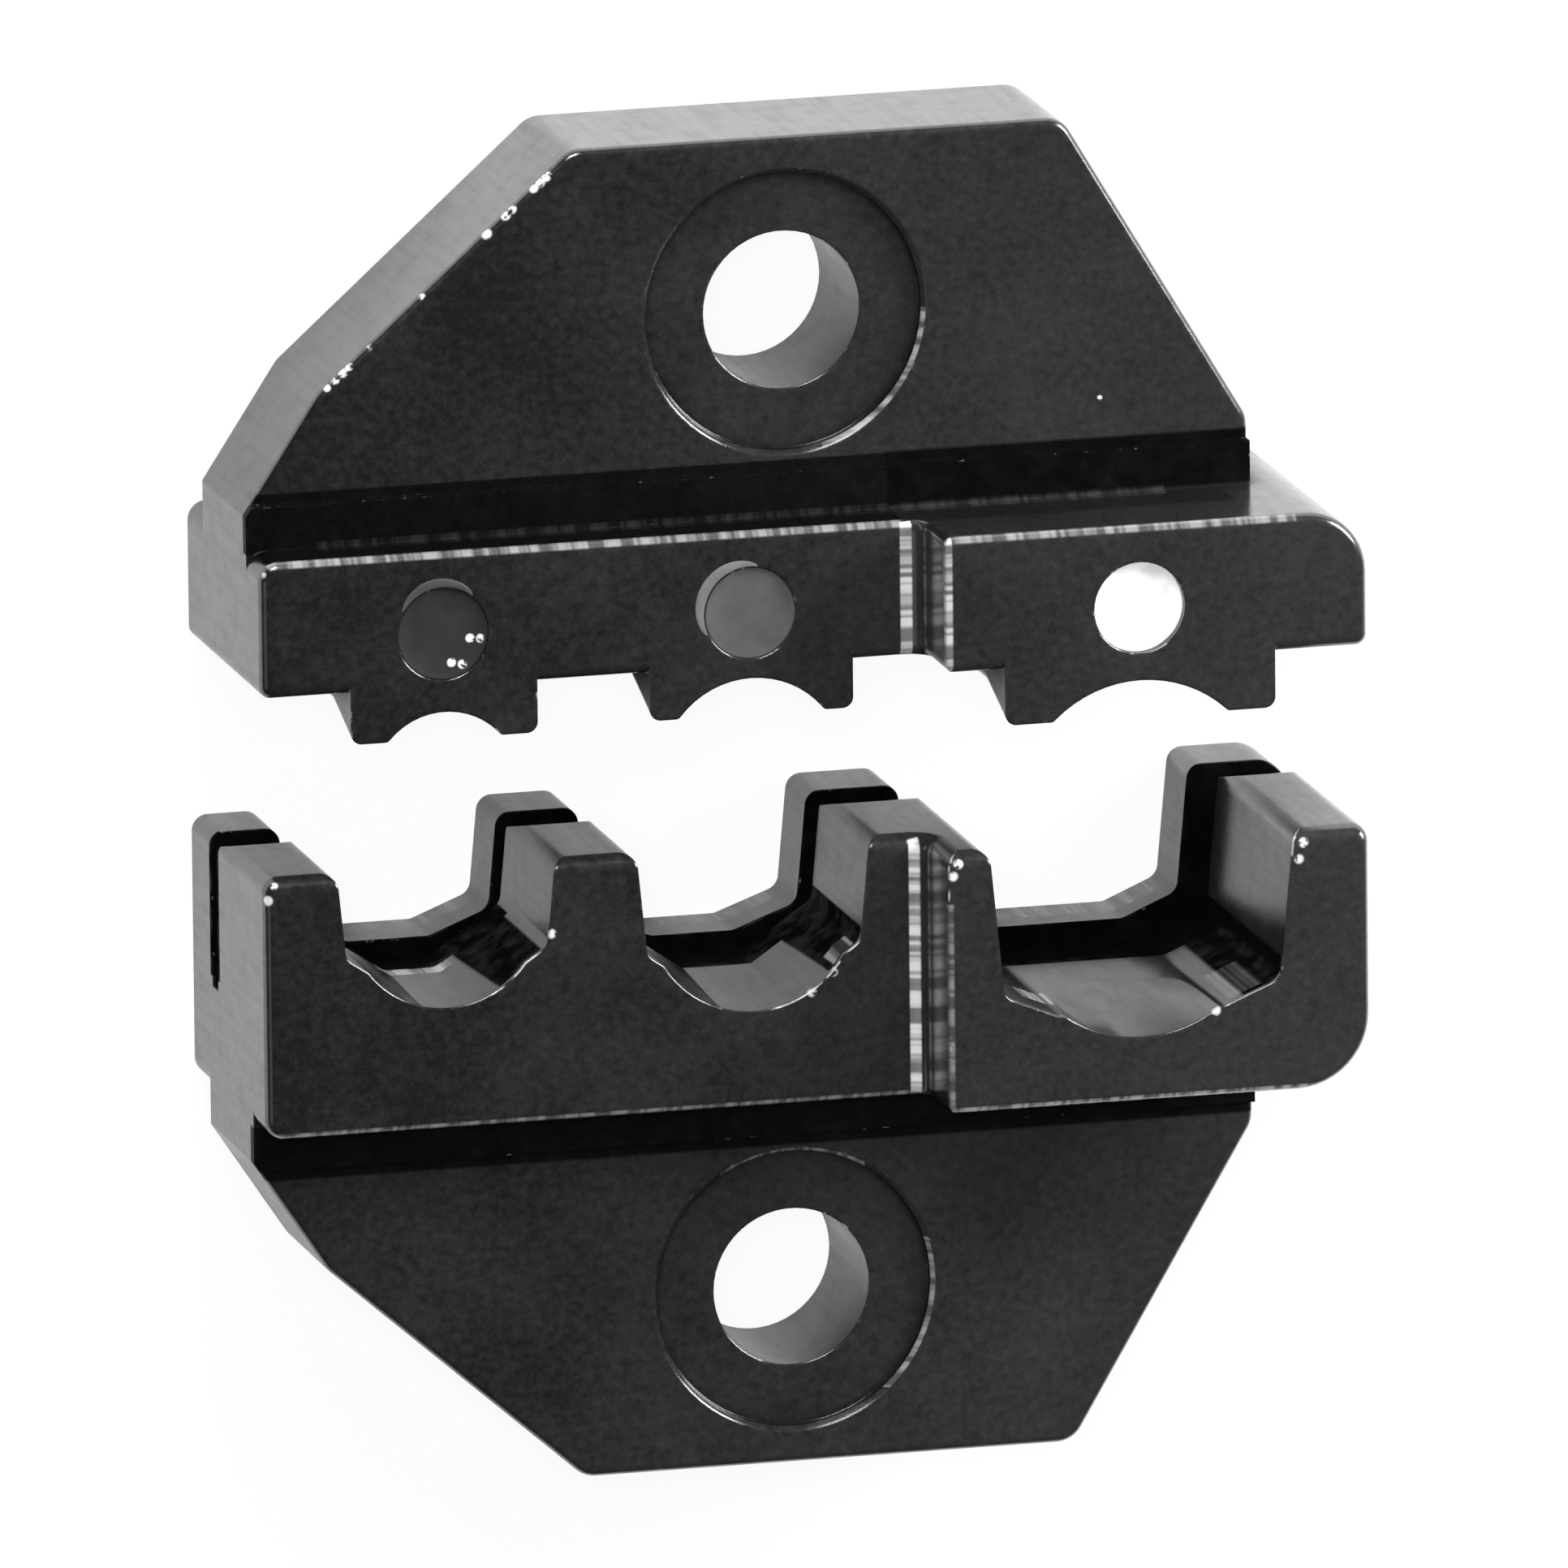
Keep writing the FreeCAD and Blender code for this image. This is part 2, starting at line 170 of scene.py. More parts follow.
class Graph:
    """The node tree of one material or of the world."""

    # Places of a Mix node's sockets for colours, since names repeat for each kind of data
    MIX_FACTOR, MIX_FIRST, MIX_SECOND, MIX_RESULT = 0, 6, 7, 2
    OPENNESS_RAYS = 6

    def __init__(self, tree: bpy.types.NodeTree) -> None:
        """Start from an empty tree."""
        self.tree = tree
        tree.nodes.clear()

    def add(
        self,
        kind: str,
        settings: dict[str, object],
        inputs: dict[str | int, object],
    ) -> bpy.types.Node:
        """Add one node.

        Args:
            kind: Blender's type name of the node.
            settings: properties that are set first, such as a Math node's operation.
            inputs: plain values or Values to link, by socket name or place.

        Returns:
            The new node.
        """
        node = self.tree.nodes.new(kind)
        for name, setting in settings.items():
            setattr(node, name, setting)
        for key, given in inputs.items():
            if isinstance(given, Value):
                self.tree.links.new(given.socket, node.inputs[key])
            else:
                node.inputs[key].default_value = given
        return node

    def output(
        self,
        kind: str,
        settings: dict[str, object],
        inputs: dict[str | int, object],
        wanted: str | int,
    ) -> Value:
        """Add one node and give one of its outputs.

        Args:
            kind: Blender's type name of the node.
            settings: properties that are set first.
            inputs: plain values or Values to link, by socket name or place.
            wanted: name or place of the output.

        Returns:
            That output.
        """
        return Value(self, self.add(kind, settings, inputs).outputs[wanted])

    def math(self, operation: str, first: Value | float, second: Value | float) -> Value:
        """One Math node on two numbers."""
        settings = {"operation": operation}
        return self.output("ShaderNodeMath", settings, {0: first, 1: second}, "Value")

    def vector_math(self, operation: str, first: Value, second: object) -> Value:
        """One Vector Math node on two vectors, for the operations that give a number."""
        settings = {"operation": operation}
        return self.output("ShaderNodeVectorMath", settings, {0: first, 1: second}, "Value")

    def stretch(self, place: Value, scale: tuple[float, float, float]) -> Value:
        """A place with its coordinates multiplied by a scale."""
        return self.output("ShaderNodeMapping", {}, {"Vector": place, "Scale": scale}, "Vector")

    def place(self) -> Value:
        """Object coordinates in millimetres."""
        metres = self.output("ShaderNodeTexCoord", {}, {}, "Object")
        return self.stretch(metres, (1 / MM, 1 / MM, 1 / MM))

    def parts(self, place: Value) -> tuple[Value, ...]:
        """The three coordinates of a place."""
        node = self.add("ShaderNodeSeparateXYZ", {}, {"Vector": place})
        return tuple(Value(self, socket) for socket in node.outputs)

    def tone(self, low: Value | float, high: Value | float, share: Value) -> Value:
        """Blend two colours.

        Args:
            low: grey tone or colour where the share is 0.
            high: grey tone or colour where the share is 1.
            share: number from 0 to 1.

        Returns:
            The blended colour.
        """
        first = low if isinstance(low, Value) else (low, low, low, 1.0)
        second = high if isinstance(high, Value) else (high, high, high, 1.0)
        inputs = {self.MIX_FACTOR: share, self.MIX_FIRST: first, self.MIX_SECOND: second}
        return self.output("ShaderNodeMix", {"data_type": "RGBA"}, inputs, self.MIX_RESULT)

    def spot(self, place: Value, at: tuple[float, float, float], radius: float) -> Value:
        """1 near a point, fading over the outer half of a radius."""
        return 1.0 - self.vector_math("DISTANCE", place, at).ramp(radius / 2, radius)

    def greatest(self, shares: list[Value]) -> Value:
        """Find the greatest of several numbers.

        Args:
            shares: the numbers, at least one.

        Returns:
            The greatest of them at each point.
        """
        most = shares[0]
        for share in shares[1:]:
            most = self.math("MAXIMUM", most, share)
        return most

    def openness(self, distance: float) -> Value:
        """Share of open space around a point on its own piece: 1 on flat or convex ground."""
        settings = {"samples": self.OPENNESS_RAYS, "only_local": True}
        return self.output("ShaderNodeAmbientOcclusion", settings, {"Distance": distance}, "AO")

    def finish(self, kind: str, shader: Value) -> None:
        """Connect a shader to an output node of the given type."""
        self.add(kind, {}, {"Surface": shader})


def new_material(name: str) -> tuple[bpy.types.Material, Graph]:
    """Make an empty material.

    Args:
        name: the material's name.

    Returns:
        The material and its graph.
    """
    material = bpy.data.materials.new(name)
    material.use_nodes = True
    return material, Graph(material.node_tree)


@dataclass(frozen=True)
class Noise:
    """Soft noise from 0 to 1, by its lumps per millimetre, its octaves and their roughness."""

    per_mm: float
    detail: float = 2.0
    rough: float = 0.5

    def over(self, graph: Graph, place: Value) -> Value:
        """The noise at a place."""
        inputs = {"Vector": place, "Scale": self.per_mm, "Detail": self.detail, "Roughness": self.rough}
        return graph.output("ShaderNodeTexNoise", {}, inputs, "Fac")


@dataclass(frozen=True)
class Patches:
    """Soft-edged patches: 0 where the noise is below low, the full amount where it is above high."""

    noise: Noise
    low: float
    high: float
    amount: float = 1.0

    def over(self, graph: Graph, place: Value) -> Value:
        """The patches at a place."""
        return self.noise.over(graph, place).ramp(self.low, self.high) * self.amount


# Crumbs that break a round nick or painted glint into a ragged one
CRUMBS = Patches(Noise(4.5), 0.34, 0.50)


@dataclass(frozen=True)
class Zone:
    """Box-shaped region of a die, and how strongly painted shade, or wear with painted highlights, is
    painted there.

    Attributes:
        x: range in millimetres along X, and so for y and z.
        strength: share inside the region.
        soft: margin outside the ranges, in millimetres, over which the share fades to 0.
        along: axis that the dashes of a region of wear and painted highlight follow.
    """

    x: tuple[float, float]
    y: tuple[float, float]
    z: tuple[float, float]
    strength: float = 1.0
    soft: float = 0.08
    along: Axis = Axis.X

    def share(self, parts: tuple[Value, ...]) -> Value:
        """Find how much of the region's paint lies at a place.

        Args:
            parts: the three coordinates of the place.

        Returns:
            Number from 0 to the region's strength.
        """
        x, y, z = parts
        inside = x.within(*self.x, self.soft) * y.within(*self.y, self.soft)
        return inside * z.within(*self.z, self.soft) * self.strength


@dataclass(frozen=True)
class BlackOxide:
    """Blackened tool steel: satin skin, bare edges and nicks that also paint highlights, grinding lines,
    painted shade in corners.

    Attributes:
        painted_shade_zones: regions painted dull black as shade.
        worn_and_highlit: regions with dashes of bare steel that also paint highlights.
        rubbed_and_highlit: regions where the edges show more bare steel and painted highlight than
            elsewhere.
        nicks_and_glints: centre and radius of each nick or painted glint.
        nick_and_glint_spread: factor on the radius of a nick or painted glint, which the crumbs then break
            up.
    """

    painted_shade_zones: tuple[Zone, ...]
    worn_and_highlit: tuple[Zone, ...]
    rubbed_and_highlit: tuple[Zone, ...]
    nicks_and_glints: tuple[tuple[float, float, float, float], ...]
    nick_and_glint_spread: float = 1.3

    # Tones as linear base colours
    dark_tone: float = 0.007
    light_tone: float = 0.031
    # dull near-black of the painted shade and of the thin film
    shade_and_film_tone: float = 0.002
    # light base colour of the bare steel, which also paints highlights
    bare_and_highlight_tone: float = 0.85

    # Share of the light tone: its level, and how far mottle, clouds and a millimetre of X move it
    tone_level: float = 0.47
    tone_by_mottle: float = 1.6
    tone_by_cloud: float = 0.8
    tone_by_x: float = 0.020
    mottle: Noise = Noise(3.4, 5.0, 0.7)
    cloud: Noise = Noise(0.22)

    # Gloss of the skin, and what mottle and the bare steel with its painted highlights add to its roughness
    roughness: float = 0.18
    rough_by_mottle: float = 0.14
    rough_when_bare_or_highlit: float = 0.27
    metal_when_bare_or_highlit: float = 0.3
    ior: float = 2.0
    grain: Noise = Noise(16.0, 3.0, 0.7)
    grain_height: float = 0.004 * MM
    grain_strength: float = 0.35

    # Edges: rounding, and the bend of the rounded normal and openness from no wear-and-highlight to full
    edge_radius: float = 0.13 * MM
    edge_samples: int = 8
    edge_bend: tuple[float, float] = (0.01, 0.12)
    edge_reach: float = 0.3 * MM
    edge_open: tuple[float, float] = (0.62, 0.85)
    rubbed_and_highlit_flecks: Patches = Patches(Noise(1.6), 0.40, 0.54)
    other_flecks: Patches = Patches(Noise(2.6), 0.62, 0.76, 0.5)

    # Dashes of the worn regions, which also paint highlights, and the share of bare steel between them
    dashes: Patches = Patches(Noise(1.9, 2.0, 0.6), 0.42, 0.58, 0.8)
    between_dashes: float = 0.2

    # Painted shade: inner corners with the openness from full shade to none, and ragged regions; and a
    # thin dull film with grinding lines, which are drawn out along Z by stretching the place
    corner_reach: float = 1.1 * MM
    corner_open: tuple[float, float] = (0.40, 0.95)
    corner_strength: float = 0.75
    ragged: Noise = Noise(1.3)
    ragged_swing: float = 0.3
    ragged_level: float = 0.82
    film: Patches = Patches(Noise(1.1, 4.0, 0.65), 0.42, 0.72, 0.11)
    lines: Patches = Patches(Noise(1.0, 3.0, 0.6), 0.40, 0.68, 0.09)
    line_stretch: tuple[float, float, float] = (4.0, 4.0, 0.25)

    def bare_and_highlit_edges(self, graph: Graph, place: Value, soft: Value, flat: Value) -> Value:
        """Find the bare steel, which also paints highlights, in flecks along convex edges, many in the
        rubbed regions.

        Args:
            graph: the material's graph.
            place: object coordinates in millimetres.
            soft: normal rounded over the edges.
            flat: normal of the face itself.

        Returns:
            Share from 0 to 1.
        """
        edge = (1.0 - graph.vector_math("DOT_PRODUCT", soft, flat)).ramp(*self.edge_bend)
        parts = graph.parts(place)
        here = graph.greatest([zone.share(parts) for zone in self.rubbed_and_highlit])
        often = self.rubbed_and_highlit_flecks.over(graph, place) * here
        seldom = self.other_flecks.over(graph, place)
        convex = graph.openness(self.edge_reach).ramp(*self.edge_open)
        return edge * graph.greatest([often, seldom]) * convex

    def wear_and_glint_marks(self, graph: Graph, place: Value) -> Value:
        """Find the bare steel, which also paints highlights and glints, at single nicks and in the worn
        regions.

        The regions of wear and painted highlight are broken into dashes by noise that varies only along
        each one's axis.

        Args:
            graph: the material's graph.
            place: object coordinates in millimetres.

        Returns:
            Share from 0 to 1.
        """
        spots = [graph.spot(place, at, radius * self.nick_and_glint_spread) for *at, radius in self.nicks_and_glints]
        shares = [graph.greatest(spots) * CRUMBS.over(graph, place)]
        parts = graph.parts(place)
        for axis in Axis:
            zones = [zone.share(parts) for zone in self.worn_and_highlit if zone.along is axis]
            line = graph.output("ShaderNodeCombineXYZ", {}, {0: parts[axis.value]}, "Vector")
            dash = self.dashes.over(graph, line) + self.between_dashes
            shares.append(graph.greatest(zones) * dash)
        return graph.greatest(shares)

    def painted_shade_and_film(self, graph: Graph, place: Value) -> Value:
        """Find the painted shade in inner corners and in the shaded regions, and the thin dull film.

        Args:
            graph: the material's graph.
            place: object coordinates in millimetres.

        Returns:
            Share from 0 to 1.
        """
        # painted shade in inner corners, darker where the piece's own faces close in
        closed = 1.0 - graph.openness(self.corner_reach).ramp(*self.corner_open)
        ragged = self.ragged.over(graph, place) * self.ragged_swing + self.ragged_level
        parts = graph.parts(place)
        zones = graph.greatest([zone.share(parts) for zone in self.painted_shade_zones])
        film = self.film.over(graph, place)
        lines = self.lines.over(graph, graph.stretch(place, self.line_stretch))
        fields = zones * ragged.clamped(0.0, 1.0)
        return graph.greatest([closed * self.corner_strength, fields, film + lines])

    def material(self, name: str) -> bpy.types.Material:
        """Build the finish.

        Args:
            name: the material's name.

        Returns:
            The material.
        """
        material, graph = new_material(name)
        place = graph.place()
        x, _, _ = graph.parts(place)
        settings = {"samples": self.edge_samples}
        soft = graph.output("ShaderNodeBevel", settings, {"Radius": self.edge_radius}, "Normal")
        flat = graph.output("ShaderNodeNewGeometry", {}, {}, "True Normal")
        mottle = self.mottle.over(graph, place) - NOISE_MIDDLE
        cloud = self.cloud.over(graph, place) - NOISE_MIDDLE
        edges = self.bare_and_highlit_edges(graph, place, soft, flat)
        # bare steel that also paints highlights, on edges, nicks and worn dashes
        bare_or_highlit = graph.math("MAXIMUM", edges, self.wear_and_glint_marks(graph, place))
        light = mottle * self.tone_by_mottle + cloud * self.tone_by_cloud + x * self.tone_by_x
        share = (light + self.tone_level).clamped(0.0, 1.0)
        skin = graph.tone(self.dark_tone, self.light_tone, share)
        bump = graph.output(
            "ShaderNodeBump",
            {},
            {
                "Strength": self.grain_strength,
                "Distance": self.grain_height,
                "Height": self.grain.over(graph, place),
                "Normal": soft,
            },
            "Normal",
        )
        steel = graph.output(
            "ShaderNodeBsdfPrincipled",
            {},
            {
                "Base Color": graph.tone(skin, self.bare_and_highlight_tone, bare_or_highlit),
                "Roughness": self.roughness + mottle * self.rough_by_mottle + bare_or_highlit * self.rough_when_bare_or_highlit,
                "Metallic": bare_or_highlit * self.metal_when_bare_or_highlit,
                "IOR": self.ior,
                "Normal": bump,
            },
            "BSDF",
        )
        # dull near-black diffuse that paints the shade, and the thin film, over the steel
        shade_and_film_colour = (self.shade_and_film_tone, self.shade_and_film_tone, self.shade_and_film_tone, 1.0)
        dull = graph.output(
            "ShaderNodeBsdfDiffuse", {}, {"Color": shade_and_film_colour, "Roughness": 1.0}, "BSDF"
        )
        shade_and_film_share = self.painted_shade_and_film(graph, place) * (1.0 - bare_or_highlit)
        both = graph.output("ShaderNodeMixShader", {}, {0: shade_and_film_share, 1: steel, 2: dull}, "Shader")
        graph.finish("ShaderNodeOutputMaterial", both)
        return material


@dataclass(frozen=True)
class Enamel:
    """Air-dried enamel with a soft gloss and faint brush ripples.

    Attributes:
        tone: the enamel's grey.
        glints: centres of the painted white glints on it, in millimetres, as is their radius.
        shades: factors on the tone in its darker and lighter blotches.
    """

    tone: DotTone
    glints: tuple[tuple[float, float, float], ...] = ()
    glint_radius: float = 0.17
    shades: tuple[float, float] = (0.85, 1.08)
    blotches: Patches = Patches(Noise(1.2), 0.3, 0.7)
    roughness: float = 0.38
    ior: float = 1.5
    ripple: Noise = Noise(5.0)
    ripple_height: float = 0.01 * MM
    ripple_strength: float = 0.3

    def material(self, name: str) -> bpy.types.Material:
        """Build the finish.

        Args:
            name: the material's name.

        Returns:
            The material.
        """
        material, graph = new_material(name)
        place = graph.place()
        dark, light = (min(1.0, self.tone.value * shade) for shade in self.shades)
        colour = graph.tone(dark, light, self.blotches.over(graph, place))
        # painted glints: white spots on the enamel
        if self.glints:
            spots = [graph.spot(place, glint, self.glint_radius) for glint in self.glints]
            white = graph.greatest(spots) * CRUMBS.over(graph, place)
            colour = graph.tone(colour, DotTone.WHITE.value, white)
        bump = graph.output(
            "ShaderNodeBump",
            {},
            {
                "Strength": self.ripple_strength,
                "Distance": self.ripple_height,
                "Height": self.ripple.over(graph, place),
            },
            "Normal",
        )
        surface = graph.output(
            "ShaderNodeBsdfPrincipled",
            {},
            {"Base Color": colour, "Roughness": self.roughness, "IOR": self.ior, "Normal": bump},
            "BSDF",
        )
        graph.finish("ShaderNodeOutputMaterial", surface)
        return material


def grid_mesh(name: str, points: np.ndarray, wrap: bool, weld: bool) -> bpy.types.Object:
    """Turn a grid of points into a smooth mesh object.

    Args:
        name: the object's name.
        points: array of rows by columns by 3, in metres.
        wrap: whether the last column joins the first.
        weld: whether points that coincide become one, as where a row shrinks to a point.

    Returns:
        The object, linked to the scene.
    """
    rows, columns, _ = points.shape
    index = np.arange(rows * columns).reshape(rows, columns)
    across = np.roll(index, -1, axis=1) if wrap else index[:, 1:]
    here = index if wrap else index[:, :-1]
    quads = np.stack([here[:-1], across[:-1], across[1:], here[1:]], axis=-1).reshape(-1, 4)
    mesh = bpy.data.meshes.new(name)
    mesh.from_pydata(points.reshape(-1, 3).tolist(), [], quads.tolist())
    if weld:
        merge_doubles(mesh)
    mesh.polygons.foreach_set("use_smooth", np.ones(len(mesh.polygons), bool))
    mesh.update()
    piece = bpy.data.objects.new(name, mesh)
    bpy.context.scene.collection.objects.link(piece)
    return piece


def merge_doubles(mesh: bpy.types.Mesh) -> None:
    """Weld coincident points, drop the faces that collapse and turn the rest outward.

    Args:
        mesh: the mesh to change.
    """
    work = bmesh.new()
    work.from_mesh(mesh)
    bmesh.ops.remove_doubles(work, verts=work.verts, dist=WELD_DISTANCE)
    bmesh.ops.recalc_face_normals(work, faces=work.faces)
    work.to_mesh(mesh)
    work.free()


@dataclass(frozen=True)
class RimHighlight:
    """Painted highlight of a dimple's rim, as a thin crescent of lighter enamel on the front face.

    Attributes:
        tone: the lighter grey of the painted highlight.
        start: angle in radians where the crescent begins, and so for end.
        width: width in its middle.
        height: thickness in its middle.
        taper: power of the sine that narrows it towards both ends.
        gap: distance from the rim to its inner edge.
        lift: height of its lower side over the face.
    """

    tone: DotTone
    start: float
    end: float
    width: float
    height: float = 0.03 * MM
    taper: float = 0.6
    gap: float = 0.05 * MM
    lift: float = 0.002 * MM
    steps: int = 48
    around: int = 12

    def surface(self, centre: Vector, radius: float, front: float) -> np.ndarray:
        """Points of the crescent.

        Along the rim t runs from 0 to 1, the angle from start to end, and the swell is
        s = sin(pi t)^taper. Around the section a runs through a full turn, with
        distance = radius + gap + width s (1 + cos a) / 2 and
        height above the face = lift + height s max(sin a, 0).

        Args:
            centre: middle of the dimple.
            radius: radius of the dimple.
            front: height of the front face.

        Returns:
            Array of rows by columns by 3.
        """
        share = np.linspace(0.0, 1.0, self.steps)[:, None]
        turn = np.linspace(0.0, 2 * math.pi, self.around, endpoint=False)[None, :]
        angle = self.start + (self.end - self.start) * share
        swell = np.maximum(np.sin(math.pi * share), 0.0) ** self.taper
        reach = radius + self.gap + self.width * swell * (1 + np.cos(turn)) / 2
        rise = front + self.lift + self.height * swell * np.maximum(np.sin(turn), 0.0)
        return np.stack([centre.x + reach * np.cos(angle), centre.y + reach * np.sin(angle), rise], axis=-1)


@dataclass(frozen=True)
class EnamelDot:
    """Enamel that fills the bottom of a drilled dimple and climbs a little up its wall.

    Attributes:
        node: the CAD disc that it takes the place of.
        tone: the enamel's grey.
        level: thickness in the middle.
        rim_highlight: painted highlight of the rim, a crescent of lighter enamel on the front face, if any.
        glints: centres of painted white glints.
        climb: rise of the enamel at the wall.
        steepness: power of the radius with which it rises.
    """

    node: str
    tone: DotTone
    level: float
    rim_highlight: RimHighlight | None = None
    glints: tuple[tuple[float, float, float], ...] = ()
    climb: float = 0.10 * MM
    steepness: int = 4
    turns: int = 96
    rings: int = 24

    def surface(self, centre: Vector, radius: float, bottom: float) -> np.ndarray:
        """Points of the closed fill.

        The top is height = level + climb * r^steepness, where r runs from 0 in the middle to 1 at
        the wall, so the enamel is flat in the middle and creeps up at the rim. The last two rows
        are the wall's foot and the middle of the flat bottom, both at height 0.

        Args:
            centre: middle of the dimple.
            radius: radius of the fill.
            bottom: height of the dimple's bottom.

        Returns:
            Array of rows by columns by 3.
        """
        angle = np.linspace(0.0, 2 * math.pi, self.turns, endpoint=False)
        ring = np.repeat(np.linspace(0.0, 1.0, self.rings)[:, None], self.turns, axis=1)
        across = np.concatenate([ring, ring[-1:], ring[:1]])
        top = self.level + self.climb * ring**self.steepness
        height = np.concatenate([top, np.zeros((2, self.turns))])
        x = centre.x + radius * across * np.cos(angle)
        y = centre.y + radius * across * np.sin(angle)
        return np.stack([x, y, bottom + height], axis=-1)

    def build(self) -> list[bpy.types.Object]:
        """Make the fill, and its painted rim highlight if there is one, in place of the plain CAD disc.

        Returns:
            The finished pieces.
        """
        low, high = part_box(self.node)
        centre = (low + high) / 2
        radius = (high.x - low.x) / 2
        points = self.surface(centre, radius, low.z)
        fill = grid_mesh(self.node + "_fill", points, wrap=True, weld=True)
        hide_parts(self.node)
        fill.data.materials.append(Enamel(self.tone, self.glints).material(self.node))
        pieces = [fill]
        # painted rim highlight: a crescent of lighter enamel beside the rim
        if self.rim_highlight:
            points = self.rim_highlight.surface(centre, radius, low.z + DIMPLE_DEPTH)
            crescent = grid_mesh(self.node + "_smear", points, wrap=True, weld=True)
            crescent.data.materials.append(Enamel(self.rim_highlight.tone).material(crescent.name))
            pieces.append(crescent)
        for piece in pieces:
            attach(piece, Body.UPPER.value)
        return pieces


# Where painted shade, wear with painted highlights and rubbed edges with painted highlights sit on each
# die: ranges along X, Y and Z in millimetres of the row frame, then the strength, the soft margin and
# the axis where they aren't the usual ones. A nick or painted glint is X, Y, Z and radius.
# Painted shade on the lower die: under the block, in the slot, at the rear of the nests and on nest walls
LOWER_PAINTED_SHADE = (
    Zone((-17.4, 14.8), (-10.85, -9.16), (7.2, 8.8), 0.88, 0.15),
    Zone((-17.2, 17.2), (-7.4, -0.9), (2.42, 3.2), 1.0, 0.06),
    Zone((-17.4, -17.0), (-5.4, -0.9), (2.25, 3.4), 1.0, 0.06),
    Zone((-16.0, -7.0), (-5.7, -3.6), (2.42, 4.5)),
    Zone((-6.0, 2.6), (-6.3, -4.1), (2.42, 4.6)),
    Zone((4.6, 15.5), (-7.0, -5.4), (2.42, 4.9)),
    Zone((-11.0, -7.9), (-4.75, -3.7), (2.4, 9.1)),
    Zone((-0.7, 2.2), (-5.0, -3.7), (2.4, 9.1)),
    Zone((11.6, 14.9), (-6.0, -4.9), (2.4, 11.9)),
    Zone((5.2, 7.4), (-6.9, -5.6), (5.2, 11.6), 0.6, 0.3),
)
# Dashes of bare steel on the lower die, which also paint highlights on fillets, edges and rims
LOWER_WEAR_AND_HIGHLIGHTS = (
    Zone((3.30, 3.56), (-9.0, -0.9), (9.2, 9.75), 1.0, 0.06, Axis.Y),
    Zone((3.76, 3.92), (-9.0, -2.5), (11.9, 12.2), 0.20, along=Axis.Y),
    Zone((-17.1, 3.4), (-9.2, -9.0), (9.0, 9.4), 0.30),
    Zone((3.9, 17.0), (-9.2, -9.0), (11.8, 12.2), 0.45),
    Zone((-15.0, -9.6), (-5.4, -4.95), (4.5, 5.15), 0.7),
    Zone((0.5, 1.5), (-4.8, -4.2), (8.0, 9.0), 0.6),
    Zone((12.9, 14.3), (-6.3, -5.8), (8.6, 11.6), 0.30),
    Zone((6.7, 7.7), (-6.9, -5.9), (8.8, 10.2), 0.5),
    Zone((-16.0, -7.0), (-4.9, -4.2), (-0.1, 0.9), 0.20, 0.4),
    Zone((-6.0, 2.6), (-5.4, -4.6), (-0.1, 0.9), 0.20, 0.4),
    Zone((4.6, 15.5), (-6.0, -5.2), (-0.1, 1.2), 0.28, 0.4),
    Zone((-2.3, 2.3), (-11.8, -11.0), (7.14, 7.26), 0.35, 0.03),
    Zone((2.4, 4.7), (-18.9, -14.2), (7.14, 7.26), 0.35, 0.03, Axis.Y),
)
# Rubbed corners of the lower die's prongs, painted bright as wear and highlight
LOWER_RUBBED_AND_HIGHLIT = (
    Zone((-17.4, -16.2), (-2.2, -0.8), (8.9, 9.4), 1.0, 0.2),
    Zone((3.6, 4.6), (-2.2, -0.8), (11.7, 12.2), 1.0, 0.2),
    Zone((14.4, 15.6), (-2.2, -0.8), (11.7, 12.2), 1.0, 0.2),
    Zone((-10.4, -7.8), (-4.9, -3.2), (9.0, 9.4), 0.8, 0.2),
    Zone((-1.0, 1.6), (-6.0, -4.2), (9.0, 9.4), 0.8, 0.2),
)
# Nicks on the lower die, which also paint glints on corners and edges
LOWER_NICKS_AND_GLINTS = (
    (1.51, -17.65, 7.3, 0.08),
    (1.18, -5.54, 3.2, 0.15),
    (-16.97, -1.0, 9.28, 0.15),
    (-17.18, -1.51, 9.25, 0.15),
    (4.13, -1.19, 12.08, 0.15),
    (3.96, -1.57, 12.05, 0.15),
    (15.19, -1.27, 12.08, 0.15),
    (15.04, -1.78, 12.05, 0.15),
    (-9.08, -3.77, 9.25, 0.15),
    (-9.56, -4.36, 9.25, 0.15),
    (-8.17, -3.17, 9.25, 0.15),
    (0.82, -5.01, 9.25, 0.15),
    (0.13, -5.61, 9.25, 0.15),
    (12.34, -6.42, 12.05, 0.15),
    (6.67, -5.69, 12.05, 0.15),
)
# Painted shade on the upper die: on the ledge and the band at the tail's root
UPPER_PAINTED_SHADE = (
    Zone((-17.4, 3.2), (9.1, 10.85), (7.2, 9.0), 0.88),
    Zone((3.2, 13.6), (9.4, 10.45), (7.6, 9.3), 0.95, 0.5),
    Zone((3.2, 14.8), (9.3, 10.85), (7.2, 7.9), 0.95, 0.15),
)
# Dashes of bare steel on the upper die, which also paint highlights on fillets, edges and rims
UPPER_WEAR_AND_HIGHLIGHTS = (
    Zone((3.12, 3.42), (4.9, 9.1), (9.2, 9.75), 1.0, 0.06, Axis.Y),
    Zone((3.74, 3.98), (4.9, 9.1), (11.9, 12.2), 0.7, along=Axis.Y),
    Zone((-17.0, 3.2), (9.0, 9.2), (9.1, 9.4), 0.32),
    Zone((3.9, 15.0), (9.0, 9.2), (11.9, 12.2), 0.30),
    Zone((-15.0, 12.0), (9.1, 9.3), (7.5, 7.9), 0.07),
    Zone((1.2, 4.7), (11.0, 15.4), (7.14, 7.26), 0.45, 0.03, Axis.Y),
)
